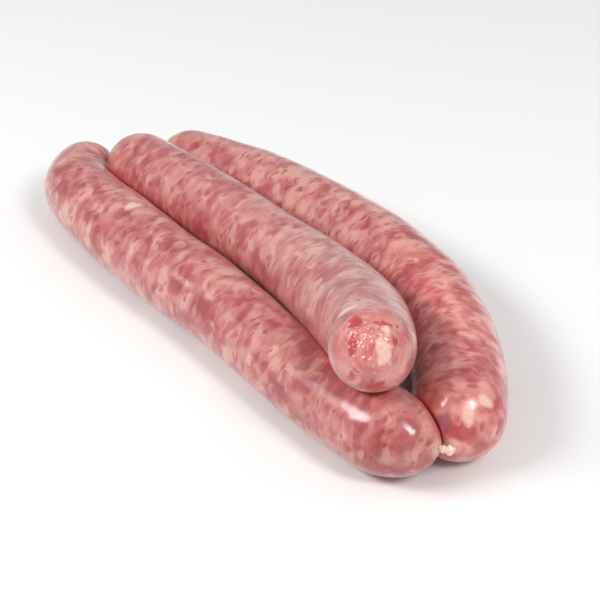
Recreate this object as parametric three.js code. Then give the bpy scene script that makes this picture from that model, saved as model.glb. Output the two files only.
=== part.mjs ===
// A string of three raw sausage links in one unbroken casing, lying as a small heap.
// Millimetres and degrees, +Z up. X runs along the links, from the back of the heap to its front.
// The casing runs from the cut, open end of the first link to the twisted tail of the last one:
//   open link, back to front on top of the heap, with bare meat showing at its cut front end
//   back twist, tucked into the crease between two link ends
//   pointed link, flat on the table, with a pointed front end
//   front twist, two small beads of turned casing
//   bowed link, flat on the table, bent like a bow, with a round front end
//   tail, a short twist of empty casing

import * as THREE from 'three';
import { mergeVertices } from 'three/addons/utils/BufferGeometryUtils.js';

// Each link is a bent tube with a rounded cap at either end.
// start: where the centre of the back cap stands, length: from there to the centre of the front cap.
// headings, radii and heights are values at equal stations from the back to the front.
// A link without heights lies on the table. A cap's pole is turned sideways and lifted from the
// direction in which the tube ends, and the cap is stretched along that pole.
const OPEN_LINK = {
  start: [-92.9, -4.8],
  length: 198.4,
  headings: [3.4, 0.5, -2.7, -17.4, -40.4],
  radii: [15.6, 16.2, 15.8, 17.8, 15.6],
  heights: [24.4, 25.0, 26.6, 31.4, 47.2],
  back: { turn: 23, lift: 17, stretch: 1.12, point: 1.0, dimple: 2.6 },
  front: { turn: 0, lift: 50, stretch: 1.05, point: 1.1, dimple: 0 },
  stations: 25
};
const POINTED_LINK = {
  start: [-119.2, -20.1],
  length: 227.7,
  headings: [-18.5, -6.5, -1.2, 2.0, -3.8, -0.6, 5.6],
  radii: [15.1, 16.9, 16.4, 15.3, 16.3],
  hookTurn: -45,
  hookLength: 26,
  back: { turn: -84, lift: -17, stretch: 1.0, point: 1.0, dimple: 2.6 },
  front: { turn: 14, lift: 3, stretch: 1.5, point: 1.02, dimple: 0 },
  stations: 30
};
const BOWED_LINK = {
  start: [-93.5, 22.6],
  length: 225.4,
  headings: [18.0, 7.1, 1.8, -10.2, -29.4, -48.7],
  radii: [15.9, 17.5, 18.0, 17.9, 17.1],
  back: { turn: 0, lift: 0, stretch: 1.1, point: 1.0, dimple: 0 },
  front: { turn: -1, lift: -3, stretch: 1.06, point: 1.3, dimple: 0 },
  stations: 27
};

// The cut end: the casing stops at a rim and the meat swells out of it.
const RIM_RADIUS = 10.2;
const RIM_STEP = 0.7;
const MEAT_SWELL = 0.9;
const MEAT_RINGS = 4;
const MEAT_FIRST_RING = 0.35;
const CASING_RINGS = 5;

// Twists of bare casing between the links, each with two beads, and the tail behind the last link.
const TWIST_WAIST = 1.1;
const TWIST_BEAD = 1.65;
const TWIST_RINGS = 7;
const TWIST_LEAD = 1.6;
const TAIL_LENGTH = 8;
const TAIL_TURN = 25;
const TAIL_RINGS = 5;
const TAIL_TAPER = 0.35;

// How the heap settles: the flats that the table presses, and the gap left between pressed links.
const TABLE_FLAT = 0.7;
const CONTACT_GAP = 0.5;
const CONTACT_BLEND = 0.5;
const PRESS_PASSES = 4;

// Fineness of the mesh.
const SIDES = 32;
const CAP_RINGS = 9;
const CAP_LAST_LATITUDE = 84;
const DIMPLE_WIDTH = 9;
const SPINE_STEPS = 280;
const SLOPE_REACH = 0.01;
const END_CROWDING = 0.3;
const TIP_REACH = 0.3;
const BALL_SPACING = 2;
const TIP_BALLS = 6;

const DEGREE = Math.PI / 180;

// Value of a smooth curve through values at equal stations, at t from 0 to 1.
function along(values, t) {
  const last = values.length - 1;
  const place = Math.min(Math.max(t, 0), 1) * last;
  const i = Math.min(Math.floor(place), last - 1);
  const u = place - i;
  const before = i > 0 ? values[i - 1] : 2 * values[0] - values[1];
  const after = i + 2 <= last ? values[i + 2] : 2 * values[last] - values[last - 1];
  const [a, b] = [values[i], values[i + 1]];
  const linear = b - before;
  const square = 2 * before - 5 * a + 4 * b - after;
  const cube = 3 * a - before - 3 * b + after;
  return 0.5 * (2 * a + linear * u + square * u ** 2 + cube * u ** 3);
}

function smoothStep(x) {
  const u = Math.min(Math.max(x, 0), 1);
  return u * u * (3 - 2 * u);
}

// Unit vector that points along a heading in the table plane, raised by an elevation.
function direction(heading, elevation) {
  const flat = Math.cos(elevation * DEGREE);
  return new THREE.Vector3(
    flat * Math.cos(heading * DEGREE),
    flat * Math.sin(heading * DEGREE),
    Math.sin(elevation * DEGREE)
  );
}

// Centre line of a link: places and headings at many small steps.
function spine(link) {
  const headingAt = (t) => {
    const hook = link.hookTurn ? Math.max(0, 1 - (t * link.length) / link.hookLength) ** 2 : 0;
    return along(link.headings, t) + (link.hookTurn ?? 0) * hook;
  };
  const step = link.length / SPINE_STEPS;
  const places = [new THREE.Vector2(...link.start)];
  const headings = [headingAt(0)];
  for (let i = 1; i <= SPINE_STEPS; i += 1) {
    headings.push(headingAt(i / SPINE_STEPS));
    const middle = (headings[i] + headings[i - 1]) / 2;
    const move = direction(middle, 0).multiplyScalar(step);
    places.push(new THREE.Vector2(places[i - 1].x + move.x, places[i - 1].y + move.y));
  }
  return { places, headings };
}

// One ring across the tube of a link's body, at t from 0 at the back to 1 at the front.
function bodyRing(link, line, t) {
  const at = t * SPINE_STEPS;
  const i = Math.min(Math.floor(at), SPINE_STEPS - 1);
  const place = line.places[i].clone().lerp(line.places[i + 1], at - i);
  const heading = THREE.MathUtils.lerp(line.headings[i], line.headings[i + 1], at - i);
  const levels = link.heights ?? link.radii;
  const low = Math.max(t - SLOPE_REACH, 0);
  const high = Math.min(t + SLOPE_REACH, 1);
  const climb = along(levels, high) - along(levels, low);
  const elevation = Math.atan2(climb, (high - low) * link.length) / DEGREE;
  const centre = new THREE.Vector3(place.x, place.y, along(levels, t));
  return { centre, radius: along(link.radii, t), heading, elevation, middle: centre };
}

// Rings of one rounded cap, from the body outwards. side is -1 at the back and 1 at the front.
function capRings(end, cap, side, latitudes) {
  return latitudes.map((latitude) => {
    const share = latitude / 90;
    const heading = end.heading + cap.turn * share;
    const elevation = end.elevation * (1 - share) + cap.lift * share;
    const radius = end.radius * Math.cos(latitude * DEGREE) ** cap.point;
    const sink = cap.dimple * smoothStep(1 - radius / DIMPLE_WIDTH);
    const reach = end.radius * cap.stretch * Math.sin(latitude * DEGREE) - sink;
    const centre = direction(heading, elevation).multiplyScalar(side * reach).add(end.centre);
    return { centre, radius: Math.max(radius, TWIST_WAIST), heading, elevation, middle: end.centre };
  });
}

// Latitudes of the rings of a closed cap, ending where the twist begins.
function capLatitudes() {
  return Array.from({ length: CAP_RINGS }, (_, i) => (CAP_LAST_LATITUDE * (i + 1)) / CAP_RINGS);
}

// The cut end: casing up to the rim, a step in, and meat that swells out of the opening.
function cutEndRings(end, cap) {
  const rim = Math.acos((RIM_RADIUS / end.radius) ** (1 / cap.point)) / DEGREE;
  const casing = Array.from({ length: CASING_RINGS }, (_, i) => (rim * (i + 1)) / CASING_RINGS);
  const meat = Array.from({ length: MEAT_RINGS }, (_, i) => {
    return rim + ((90 - rim) * (i + MEAT_FIRST_RING)) / MEAT_RINGS;
  });
  const casingRings = capRings(end, cap, 1, casing);
  const step = { ...casingRings[CASING_RINGS - 1] };
  step.radius -= RIM_STEP;
  step.centre = step.centre.clone().addScaledVector(direction(step.heading, step.elevation), -RIM_STEP / 2);
  const meatRings = capRings(end, cap, 1, meat).map((ring) => {
    const swell = direction(ring.heading, ring.elevation).multiplyScalar(MEAT_SWELL);
    return { ...ring, centre: ring.centre.clone().add(swell) };
  });
  return [...casingRings, step, ...meatRings];
}

// All rings of a link from its back pole to its front pole.
function linkRings(link, frontRings) {
  const line = spine(link);
  const body = [];
  for (let i = 0; i < link.stations; i += 1) {
    const even = i / (link.stations - 1);
    const eased = (1 - Math.cos(even * Math.PI)) / 2;
    body.push(bodyRing(link, line, THREE.MathUtils.lerp(even, eased, END_CROWDING)));
  }
  const back = capRings(body[0], link.back, -1, capLatitudes()).reverse();
  const end = body[body.length - 1];
  const front = frontRings ? frontRings(end, link.front) : capRings(end, link.front, 1, capLatitudes());
  return { rings: [...back, ...body, ...front], balls: pressingBalls(link, line) };
}

// Balls that fill a link, close together. They tell how deep a point lies in it.
function pressingBalls(link, line) {
  const balls = [];
  const count = Math.round(link.length / BALL_SPACING);
  for (let i = 0; i <= count; i += 1) {
    const { centre, radius } = bodyRing(link, line, i / count);
    balls.push({ centre, radius });
  }
  const first = bodyRing(link, line, 0);
  const last = bodyRing(link, line, 1);
  return [...balls, ...capBalls(first, link.back, -1), ...capBalls(last, link.front, 1)];
}

// Balls that reach into a stretched cap. side is -1 at the back and 1 at the front.
function capBalls(end, cap, side) {
  const slack = Math.max(cap.stretch ** 2 - 1, 0);
  return Array.from({ length: TIP_BALLS }, (_, i) => {
    const share = (i + 1) / TIP_BALLS;
    const elevation = end.elevation * (1 - share) + cap.lift * share;
    const axis = direction(end.heading + cap.turn * share, elevation);
    const reach = (side * share * end.radius * slack) / cap.stretch;
    const radius = end.radius * Math.sqrt(1 - (share ** 2 * slack) / cap.stretch ** 2);
    return { centre: axis.multiplyScalar(reach).add(end.centre), radius };
  });
}

// Turns a link's rings round, for a casing that runs through it from the front to the back.
function reversed(rings) {
  return rings
    .map((ring) => ({ ...ring, heading: ring.heading + 180, elevation: -ring.elevation }))
    .reverse();
}

// Rings of a beaded twist from one ring to the next.
function twistRings(from, to) {
  const leave = direction(from.heading, from.elevation).multiplyScalar(TWIST_LEAD);
  const arrive = direction(to.heading, to.elevation).multiplyScalar(-TWIST_LEAD);
  const route = new THREE.CubicBezierCurve3(
    from.centre,
    from.centre.clone().add(leave),
    to.centre.clone().add(arrive),
    to.centre
  );
  const rings = [];
  for (let i = 1; i <= TWIST_RINGS; i += 1) {
    const u = i / (TWIST_RINGS + 1);
    const way = route.getTangent(u);
    const bead = Math.sin(2 * Math.PI * u) ** 2;
    rings.push({
      centre: route.getPoint(u),
      radius: THREE.MathUtils.lerp(TWIST_WAIST, TWIST_BEAD, bead),
      heading: Math.atan2(way.y, way.x) / DEGREE,
      elevation: Math.asin(way.z) / DEGREE
    });
  }
  return rings;
}

// Rings of the tail, which leaves the last link, droops and ends in a blunt tip.
function tailRings(from) {
  const rings = [];
  let centre = from.centre.clone();
  for (let i = 1; i <= TAIL_RINGS; i += 1) {
    const share = i / TAIL_RINGS;
    const heading = from.heading + TAIL_TURN * share;
    const elevation = from.elevation - TAIL_TURN * share;
    centre = centre.clone().addScaledVector(direction(heading, elevation), TAIL_LENGTH / TAIL_RINGS);
    const bead = i % 2 === 0 ? TWIST_BEAD : TWIST_WAIST;
    rings.push({ centre, radius: bead * (1 - TAIL_TAPER * share ** 3), heading, elevation });
  }
  return rings;
}

// The ball of a neighbour that a point is nearest to, and how far outside it the point lies.
function nearestBall(point, balls) {
  let nearest = { gap: Infinity, centre: null };
  for (const ball of balls) {
    const gap = point.distanceTo(ball.centre) - ball.radius;
    if (gap < nearest.gap) {
      nearest = { gap, centre: ball.centre };
    }
  }
  return nearest;
}

// How far a point of one link gives way to another link, so that each gives half.
// outward points from the middle of the point's own ring to the point.
function giveWay(point, outward, balls) {
  let push = 0;
  for (let pass = 0; pass < PRESS_PASSES; pass += 1) {
    const moved = point.clone().addScaledVector(outward, -push);
    const { gap, centre } = nearestBall(moved, balls);
    const facing = Math.max(-outward.dot(moved.sub(centre).normalize()), 0);
    push += (CONTACT_GAP - gap - push) / (1 + facing);
  }
  return 0.5 * (push + Math.hypot(push, CONTACT_BLEND));
}

// Moves a point of one link back from the links that it presses against.
function pressBack(point, middle, others) {
  const outward = point.clone().sub(middle);
  const depth = outward.length();
  outward.normalize();
  const push = Math.max(...others.map((balls) => giveWay(point, outward, balls)));
  return point.addScaledVector(outward, -Math.min(push, depth - TWIST_WAIST));
}

const open = linkRings(OPEN_LINK, cutEndRings);
const pointed = linkRings(POINTED_LINK);
const bowed = linkRings(BOWED_LINK);

const onOpen = reversed(open.rings).map((ring) => ({ ...ring, others: [pointed.balls, bowed.balls] }));
const onPointed = pointed.rings.map((ring) => ({ ...ring, others: [open.balls, bowed.balls] }));
const onBowed = reversed(bowed.rings).map((ring) => ({ ...ring, others: [open.balls, pointed.balls] }));
const backTwist = twistRings(onOpen[onOpen.length - 1], onPointed[0]);
const frontTwist = twistRings(onPointed[onPointed.length - 1], onBowed[0]);
const tail = tailRings(onBowed[onBowed.length - 1]);
const casing = [...onOpen, ...backTwist, ...onPointed, ...frontTwist, ...onBowed, ...tail];

// The two closing points of the string: the tip of the bare meat and the tip of the tail.
function closingPoint(ring, side) {
  return direction(ring.heading, ring.elevation).multiplyScalar(side * ring.radius * TIP_REACH).add(ring.centre);
}

// A point of the string: row counts along the casing, angle goes round it.
function stringPoint(row, angle) {
  if (row === 0) {
    return closingPoint(casing[0], -1);
  }
  if (row === casing.length + 1) {
    return closingPoint(casing[casing.length - 1], 1);
  }
  const ring = casing[row - 1];
  const ahead = direction(ring.heading, ring.elevation);
  const left = direction(ring.heading + 90, 0);
  const up = ahead.clone().cross(left);
  const point = ring.centre
    .clone()
    .addScaledVector(left, ring.radius * Math.cos(angle))
    .addScaledVector(up, ring.radius * Math.sin(angle));
  return ring.others ? pressBack(point, ring.middle, ring.others) : point;
}

// A sphere's grid of rows and columns is laid over the string, so that the casing is one closed skin.
function stringGeometry() {
  const rows = casing.length + 1;
  const sphere = new THREE.SphereGeometry(1, SIDES, rows);
  sphere.deleteAttribute('normal');
  sphere.deleteAttribute('uv');
  const skin = mergeVertices(sphere, 1e-6);
  const spots = skin.attributes.position;
  for (let i = 0; i < spots.count; i += 1) {
    const polar = Math.acos(THREE.MathUtils.clamp(spots.getY(i), -1, 1));
    const row = Math.round((polar / Math.PI) * rows);
    const angle = Math.atan2(spots.getZ(i), spots.getX(i));
    const point = stringPoint(row, angle);
    spots.setXYZ(i, point.x, point.y, Math.max(point.z, TABLE_FLAT) - TABLE_FLAT);
  }
  return skin;
}

const geometry = stringGeometry();
geometry.computeBoundingBox();
const box = geometry.boundingBox;
geometry.translate(-(box.min.x + box.max.x) / 2, -(box.min.y + box.max.y) / 2, 0);
geometry.computeVertexNormals();

const rawSausage = new THREE.MeshStandardMaterial({ color: '#cf8a88', roughness: 0.35, metalness: 0 });
const sausageString = new THREE.Mesh(geometry, rawSausage);
sausageString.name = 'sausage_string';

const group = new THREE.Group();
group.add(sausageString);

export default group;
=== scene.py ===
# %% [markdown]
# # A string of raw sausage links
# The object is one long casing filled with coarse pork. It is twisted off into three links that
# lie as a small heap: one link on top with its cut end towards us, and two on the table below.
# This lesson loads the plain model of the heap, covers it with finely shaped skins, gives them a
# finish of meat under a moist casing, and lights them like a photograph on a white table.
# All shapes are worked out in millimetres, because a sausage is easy to think of in millimetres.
# They are turned into metres only when a mesh is made.

# %% The plain model as the frame
import math

import bpy
import numpy as np
from mathutils import Matrix, Vector


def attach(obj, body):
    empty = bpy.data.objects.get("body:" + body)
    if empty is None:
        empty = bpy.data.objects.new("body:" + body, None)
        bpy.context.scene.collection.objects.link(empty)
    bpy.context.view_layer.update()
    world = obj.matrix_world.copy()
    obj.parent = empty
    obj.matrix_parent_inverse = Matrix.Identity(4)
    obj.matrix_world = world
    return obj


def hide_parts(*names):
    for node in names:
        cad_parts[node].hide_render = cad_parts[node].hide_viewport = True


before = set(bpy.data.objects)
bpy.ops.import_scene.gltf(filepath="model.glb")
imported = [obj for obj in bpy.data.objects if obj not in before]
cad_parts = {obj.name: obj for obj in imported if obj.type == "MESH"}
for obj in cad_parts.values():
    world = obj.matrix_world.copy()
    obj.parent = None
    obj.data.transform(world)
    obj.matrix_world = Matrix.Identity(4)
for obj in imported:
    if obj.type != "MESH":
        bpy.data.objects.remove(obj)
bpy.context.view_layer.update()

MM = 0.001

# %% [markdown]
# ## The three links as numbers
# A filled link is a bent tube with a round cap at either end. It could be sculpted by hand, but then
# it would not match the plain model. Here each link is a short list of numbers read off the
# photograph: where its back end lies, its length, which way it heads at a few stations along it, how
# thick it is there and, for the link on top, how high its middle lies.
# A cap has a pole, the place where the casing closes. The pole is turned sideways and lifted, and the
# cap is stretched along it. A dimple draws the pole in where the casing is twisted tight.

# %% Numbers of the links
OPEN_LINK = {
    "start": (-92.9, -4.8),
    "length": 198.4,
    "headings": (3.4, 0.5, -2.7, -17.4, -40.4),
    "radii": (15.6, 16.2, 15.8, 17.8, 15.6),
    "heights": (24.4, 25.0, 26.6, 31.4, 47.2),
    "back": {"turn": 23, "lift": 17, "stretch": 1.12, "point": 1.0, "dimple": 2.6},
    "front": {"turn": 0, "lift": 50, "stretch": 1.05, "point": 1.1, "dimple": 0},
}
POINTED_LINK = {
    "start": (-119.2, -20.1),
    "length": 227.7,
    "headings": (-18.5, -6.5, -1.2, 2.0, -3.8, -0.6, 5.6),
    "radii": (15.1, 16.9, 16.4, 15.3, 16.3),
    "hook_turn": -45,
    "hook_length": 26,
    "back": {"turn": -84, "lift": -17, "stretch": 1.0, "point": 1.0, "dimple": 2.6},
    "front": {"turn": 14, "lift": 3, "stretch": 1.5, "point": 1.02, "dimple": 0},
}
BOWED_LINK = {
    "start": (-93.5, 22.6),
    "length": 225.4,
    "headings": (18.0, 7.1, 1.8, -10.2, -29.4, -48.7),
    "radii": (15.9, 17.5, 18.0, 17.9, 17.1),
    "back": {"turn": 0, "lift": 0, "stretch": 1.1, "point": 1.0, "dimple": 0},
    "front": {"turn": -1, "lift": -3, "stretch": 1.06, "point": 1.3, "dimple": 0},
}
HEAP_SHIFT = np.array((-0.0478, -0.0519, 0.0))
for name, link in (("open", OPEN_LINK), ("pointed", POINTED_LINK), ("bowed", BOWED_LINK)):
    print(name, "link:", link["length"], "mm long,", 2 * np.mean(link["radii"]).round(1), "mm thick")

# %% [markdown]
# ## Following a link
# To sweep a tube, we need its middle line and the size of the ring at every place on it. A Bezier
# curve object with a bevel could do this too, but it gives no say over the caps. So we walk along the
# link in small steps, turning as the headings say, and note where each step ends.
# Values between stations come from a smooth curve through them, so no kink shows on the skin.

# %% Curves and directions
def along(values, t):
    """Values of a smooth curve through values at equal stations, at t from 0 to 1."""
    v = np.asarray(values, float)
    padded = np.concatenate([[2 * v[0] - v[1]], v, [2 * v[-1] - v[-2]]])
    last = len(v) - 1
    place = np.clip(t, 0, 1) * last
    i = np.clip(np.floor(place).astype(int), 0, last - 1)
    u = place - i
    before, a, b, after = (padded[i + k] for k in range(4))
    linear = b - before
    square = 2 * before - 5 * a + 4 * b - after
    cube = 3 * a - before - 3 * b + after
    return 0.5 * (2 * a + linear * u + square * u**2 + cube * u**3)


def direction(heading, elevation):
    """Unit vectors along headings in the table plane, raised by elevations, in degrees."""
    h, e = np.broadcast_arrays(np.radians(heading), np.radians(elevation))
    return np.stack([np.cos(e) * np.cos(h), np.cos(e) * np.sin(h), np.sin(e)], -1)


def smooth_step(x):
    """0 where x is below 0, 1 where it is above 1, and a soft S between."""
    u = np.clip(x, 0, 1)
    return u * u * (3 - 2 * u)


print("halfway along the open link its radius is", along(OPEN_LINK["radii"], 0.5).round(2), "mm")

# %% [markdown]
# ## Rings along the body
# A sausage's body is a stack of rings that change little from one to the next. For each ring we keep
# its centre, its radius, the way it faces and how far it lies along the link. A plain dictionary of
# arrays holds them, as every later step works on all rings at once, which is far quicker in Python
# than a loop over the rings.

# %% The rings of a link's body
SPINE_STEPS = 280
SLOPE_REACH = 0.01


def body_rings(link, t):
    """Rings across the body of a link, at places t from 0 at the back to 1 at the front."""
    steps = np.linspace(0, 1, SPINE_STEPS + 1)
    hook = np.clip(1 - steps * link["length"] / link.get("hook_length", 1), 0, None) ** 2
    headings = along(link["headings"], steps) + link.get("hook_turn", 0) * hook
    middles = (headings[1:] + headings[:-1]) / 2
    moves = direction(middles, 0)[:, :2] * link["length"] / SPINE_STEPS
    walk = np.array(link["start"]) + np.concatenate([[[0, 0]], np.cumsum(moves, 0)])
    x, y, heading = (np.interp(t, steps, v) for v in (walk[:, 0], walk[:, 1], headings))
    levels = link.get("heights", link["radii"])
    low, high = np.clip(t - SLOPE_REACH, 0, 1), np.clip(t + SLOPE_REACH, 0, 1)
    climb = along(levels, high) - along(levels, low)
    centre = np.stack([x, y, along(levels, t)], -1)
    return {
        "centre": centre,
        "middle": centre,
        "radius": along(link["radii"], t),
        "heading": heading,
        "elevation": np.degrees(np.arctan2(climb, (high - low) * link["length"])),
        "travel": t * link["length"],
    }


ends = body_rings(OPEN_LINK, np.array([0.0, 1.0]))
print("the open link's middle line runs from", ends["centre"][0].round(1), "to", ends["centre"][1].round(1))

# %% [markdown]
# ## Round caps
# A cap is a stack of rings that shrink like the parallels of a globe towards the pole. Its rings turn
# a little more with every step, so that the pole ends up where the twist pulls it.
# A real cap isn't half a ball. The power in "point" makes it slimmer or blunter near the pole.

# %% The rings of a cap
DIMPLE_WIDTH = 9.0


def cap_rings(link, side, latitudes):
    """Rings of a cap at latitudes in degrees. side is -1 for the back cap and 1 for the front cap."""
    end = body_rings(link, np.array([0.0 if side < 0 else 1.0]))
    cap = link["back"] if side < 0 else link["front"]
    share = latitudes / 90
    heading = end["heading"] + cap["turn"] * share
    elevation = end["elevation"] * (1 - share) + cap["lift"] * share
    radius = end["radius"] * np.cos(np.radians(latitudes)) ** cap["point"]
    sink = cap["dimple"] * smooth_step(1 - radius / DIMPLE_WIDTH)
    reach = end["radius"] * cap["stretch"] * np.sin(np.radians(latitudes)) - sink
    return {
        "centre": end["centre"] + direction(heading, elevation) * (side * reach)[:, None],
        "middle": np.repeat(end["centre"], len(latitudes), 0),
        "radius": radius,
        "heading": heading,
        "elevation": elevation,
        "travel": end["travel"] + side * reach,
    }


def joined(*stacks):
    """Several stacks of rings as one."""
    return {key: np.concatenate([stack[key] for stack in stacks]) for key in stacks[0]}


poles = cap_rings(POINTED_LINK, 1, np.array([90.0]))
print("the pointed link's tip lies at", poles["centre"][0].round(1))

# %% [markdown]
# ## Links that press against each other
# Soft links don't stay round where they touch: each gives way by half. A physics simulation could find
# this, but it would also move the links. Instead every link is filled with balls along its middle
# line, and a point of the skin that comes too near a neighbour's ball is pushed straight back in.
# The push is found in a few rounds, as it changes how near the point is to the ball.

# %% The balls that fill a link
BALL_SPACING = 2.0
TIP_BALLS = 6


def cap_balls(link, side):
    """Balls that fill a cap from inside, moved towards the pole as far as the cap is stretched."""
    end = body_rings(link, np.array([0.0 if side < 0 else 1.0]))
    cap = link["back"] if side < 0 else link["front"]
    slack = max(cap["stretch"] ** 2 - 1, 0)
    share = np.arange(1, TIP_BALLS + 1) / TIP_BALLS
    elevation = end["elevation"] * (1 - share) + cap["lift"] * share
    axes = direction(end["heading"] + cap["turn"] * share, elevation)
    reach = side * share * end["radius"] * slack / cap["stretch"]
    radius = end["radius"] * np.sqrt(1 - share**2 * slack / cap["stretch"] ** 2)
    return end["centre"] + axes * reach[:, None], radius


def pressing_balls(link):
    """Centres and radii of the balls that fill a link."""
    count = round(link["length"] / BALL_SPACING)
    body = body_rings(link, np.linspace(0, 1, count + 1))
    parts = [(body["centre"], body["radius"]), cap_balls(link, -1), cap_balls(link, 1)]
    return np.concatenate([p[0] for p in parts]), np.concatenate([p[1] for p in parts])


balls = {name: pressing_balls(link) for name, link in
         (("open", OPEN_LINK), ("pointed", POINTED_LINK), ("bowed", BOWED_LINK))}
print("balls in each link:", {name: len(radii) for name, (centres, radii) in balls.items()})

# %% [markdown]
# ## Giving way
# Real skins that press on each other touch. Two meshes that touch exactly would flicker or cut into
# each other, so a hair's breadth of air is left between them. The blend rounds the edge of the flat
# place where they meet, as a soft link has no sharp edge there.

# %% Gaps between links
POINTS_AT_ONCE = 4000


def parts_of(count):
    """Slices of a long list, short enough for a table of distances to fit in memory."""
    return [slice(start, start + POINTS_AT_ONCE) for start in range(0, count, POINTS_AT_ONCE)]


def gap_to(points, centres, radii):
    """How far points lie outside the nearest ball, and that ball's centre."""
    gaps = np.linalg.norm(points[:, None] - centres[None], axis=2) - radii
    nearest = gaps.argmin(1)
    return gaps[np.arange(len(points)), nearest], centres[nearest]


def gaps_beside(points, neighbours):
    """How far points lie outside each of the neighbours."""
    gaps = {}
    for neighbour in neighbours:
        parts = [gap_to(points[part], *balls[neighbour])[0] for part in parts_of(len(points))]
        gaps[neighbour] = np.concatenate(parts)
    return gaps


crossing = body_rings(OPEN_LINK, np.array([0.8]))
spare, nearest = gap_to(crossing["centre"], *balls["pointed"])
overlap = (crossing["radius"] - spare)[0]
print("unpressed, the open link would reach", overlap.round(2), "mm into the pointed link")


# %% Giving way to a neighbour
CONTACT_GAP = 0.06
CONTACT_BLEND = 0.12
PRESS_PASSES = 4
NEAR_ENOUGH = 6.0
SMALLEST_RING = 1.1


def give_way(points, outward, neighbour):
    """How far each point is pushed in by one neighbour."""
    centres, radii = balls[neighbour]
    push = np.zeros(len(points))
    for _ in range(PRESS_PASSES):
        moved = points - outward * push[:, None]
        gap, centre = gap_to(moved, centres, radii)
        away = moved - centre
        away /= np.linalg.norm(away, axis=1)[:, None]
        facing = np.clip(-(outward * away).sum(1), 0, None)
        push += (CONTACT_GAP - gap - push) / (1 + facing)
    return 0.5 * (push + np.hypot(push, CONTACT_BLEND))


def press_back(points, middles, gaps):
    """Moves points of one link back from the links beside it."""
    outward = points - middles
    depth = np.linalg.norm(outward, axis=1)
    outward = outward / depth[:, None]
    push = np.zeros(len(points))
    for neighbour, gap in gaps.items():
        near = np.flatnonzero(gap < NEAR_ENOUGH)
        for part in parts_of(len(near)):
            few = near[part]
            push[few] = np.maximum(push[few], give_way(points[few], outward[few], neighbour))
    push = np.minimum(push, np.maximum(depth - SMALLEST_RING, 0))
    return points - outward * push[:, None]


towards = (nearest - crossing["centre"]) / np.linalg.norm(nearest - crossing["centre"])
facing_skin = crossing["centre"] + towards * crossing["radius"]
print("so its skin gives way there by", give_way(facing_skin, towards, "pointed")[0].round(2), "mm")

# %% [markdown]
# ## Lumps under the casing
# Coarse meat pushes small lumps through the thin casing, which catch the light unevenly. They could
# be left to the finish alone, but low hills in the real surface also wave the outline.
# The hills are random numbers at the corners of a grid of cubes, blended smoothly inside each cube.
# They are read in the space of the straightened link, so the pattern bends with the link.

# %% Smooth random hills
NOISE_CUBES = 48


def hills(places, size, seed):
    """Smooth random heights from -1 to 1 at places in millimetres. size is how far apart hills are."""
    corners = np.random.default_rng(seed).uniform(-1, 1, (NOISE_CUBES,) * 3)
    scaled = places / np.asarray(size, float)
    low = np.floor(scaled).astype(int)
    u = scaled - low
    u = u**3 * (u * (u * 6 - 15) + 10)
    height = np.zeros(places.shape[:-1])
    for corner in range(8):
        step = np.array([corner & 1, corner >> 1 & 1, corner >> 2 & 1])
        weight = np.where(step, u, 1 - u).prod(-1)
        i, j, k = np.moveaxis((low + step) % NOISE_CUBES, -1, 0)
        height += weight * corners[i, j, k]
    return height


sample = hills(np.random.default_rng(1).uniform(0, 200, (1000, 3)), 6.0, 3)
print("hills run from", sample.min().round(2), "to", sample.max().round(2))

# %% [markdown]
# ## Pleats where the casing is gathered
# Towards a twist the casing has too much width for the shrinking ring, so it gathers in small pleats
# that run to the pole, like cloth at a drawstring. The pleats are waves round the ring. Their number
# changes slowly with the place, so they don't look machine-made, and they fade out along the cap.

# %% Pleats round a pole
def ring_angles(sides):
    """The angles of the points round a ring."""
    return np.linspace(0, 2 * np.pi, sides, endpoint=False)


def pleats(angle, radius, seed, count, reach):
    """Heights from -1 to 0 of pleats that deepen towards the pole."""
    rng = np.random.default_rng(seed)
    phases = rng.uniform(0, 2 * np.pi, 4)
    wander = 0.7 * np.sin(2 * angle + phases[0]) + 0.5 * np.sin(3 * angle + phases[1])
    waves = np.abs(np.sin(0.5 * (count * angle + phases[2]) + wander))
    fade = smooth_step(1 - (radius - 1.0) / reach)
    uneven = 0.65 + 0.35 * np.sin(2 * angle + phases[3])
    return -(1 - waves) ** 1.5 * fade * uneven


print("pleats round a ring near the pole:", pleats(ring_angles(8), 3.0, 11, 15, 8).round(2))

# %% [markdown]
# ## Long folds
# The round link in front is filled a little slackly, so beside its twist the casing lies in a few
# long folds. They are too regular for random hills and too few for pleats. So each is a ridge of its
# own, given by the angle at which it leaves the pole, its height and its width.

# %% Long folds beside the front twist
FOLD_LINES = ((-16, 0.16, 3.2), (2, 0.22, 2.6), (17, 0.2, 2.8), (33, 0.15, 3.4))
FOLD_BEND = 0.9
FOLD_SHARPNESS = 2.4


def long_folds(angle, radius, widest):
    """Ridges of loose casing that fan out from the pole on one side of the cap."""
    degrees = np.degrees(np.arctan2(np.sin(angle), np.cos(angle)))
    height = np.zeros_like(radius * angle)
    for aim, rise, width in FOLD_LINES:
        bend = FOLD_BEND * (radius - 2)
        across = (degrees - aim - bend) * np.radians(1) * radius
        height += rise * np.exp(-((across / width * FOLD_SHARPNESS) ** 2))
    return height * smooth_step((radius - 1.2) / 2) * smooth_step((widest - radius) / 5)


print("long folds:", len(FOLD_LINES))

# %% [markdown]
# ## The skin of a link
# The rings are filled with points, the relief is added outwards, neighbours press back and the table
# flattens what would sink into it. Where two links press on each other they are smooth, so the
# relief fades out there. Each point also remembers where it was on the straightened link.
# This "unbent" place is stored on the mesh, and the finish reads it, so that flecks of meat follow
# the link instead of running straight through the bend.

# %% Points round a stack of rings
SKIN_SIDES = 160
TABLE_FLAT = 0.7
FLATTENED = 1.5
RELIEF_LEFT = 0.2
NO_NEIGHBOUR = 99.0


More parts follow.
